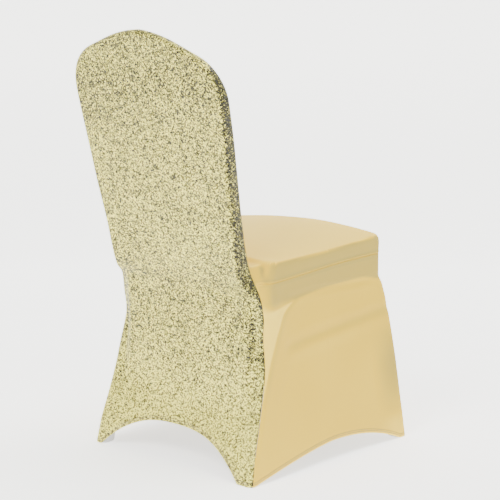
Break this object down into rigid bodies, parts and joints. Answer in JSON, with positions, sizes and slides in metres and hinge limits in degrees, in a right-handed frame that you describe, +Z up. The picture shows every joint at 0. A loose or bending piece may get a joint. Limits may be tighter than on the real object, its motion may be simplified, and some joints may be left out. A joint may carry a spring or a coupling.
{
  "type": "stretch chair cover",
  "caption": "Hollow stretch cover for a stacking chair: glitter back, plain front, seat and skirt, arched hems and foot pockets.",
  "frame": {"origin": "on the floor, under the middle of the cover's bounding box", "axes": "+Z up; the glitter back faces +Y and the seat's front edge faces -Y; +X is to the right when looking along +Y"},
  "size_m": [0.496, 0.5865, 0.9291],
  "materials": {
    "glitter_cloth": "fine gold and grey glitter knit",
    "plain_cloth": "smooth champagne stretch knit with a soft sheen",
    "pocket_cloth": "matte woven reinforcement"
  },
  "bodies": {
    "root": {"back_panel": "glitter_cloth", "seat_panel": "plain_cloth", "skirt": "plain_cloth", "foot_pocket_rear_left": "pocket_cloth", "foot_pocket_rear_right": "pocket_cloth", "foot_pocket_front_left": "pocket_cloth", "foot_pocket_front_right": "pocket_cloth"}
  },
  "joints": []
}
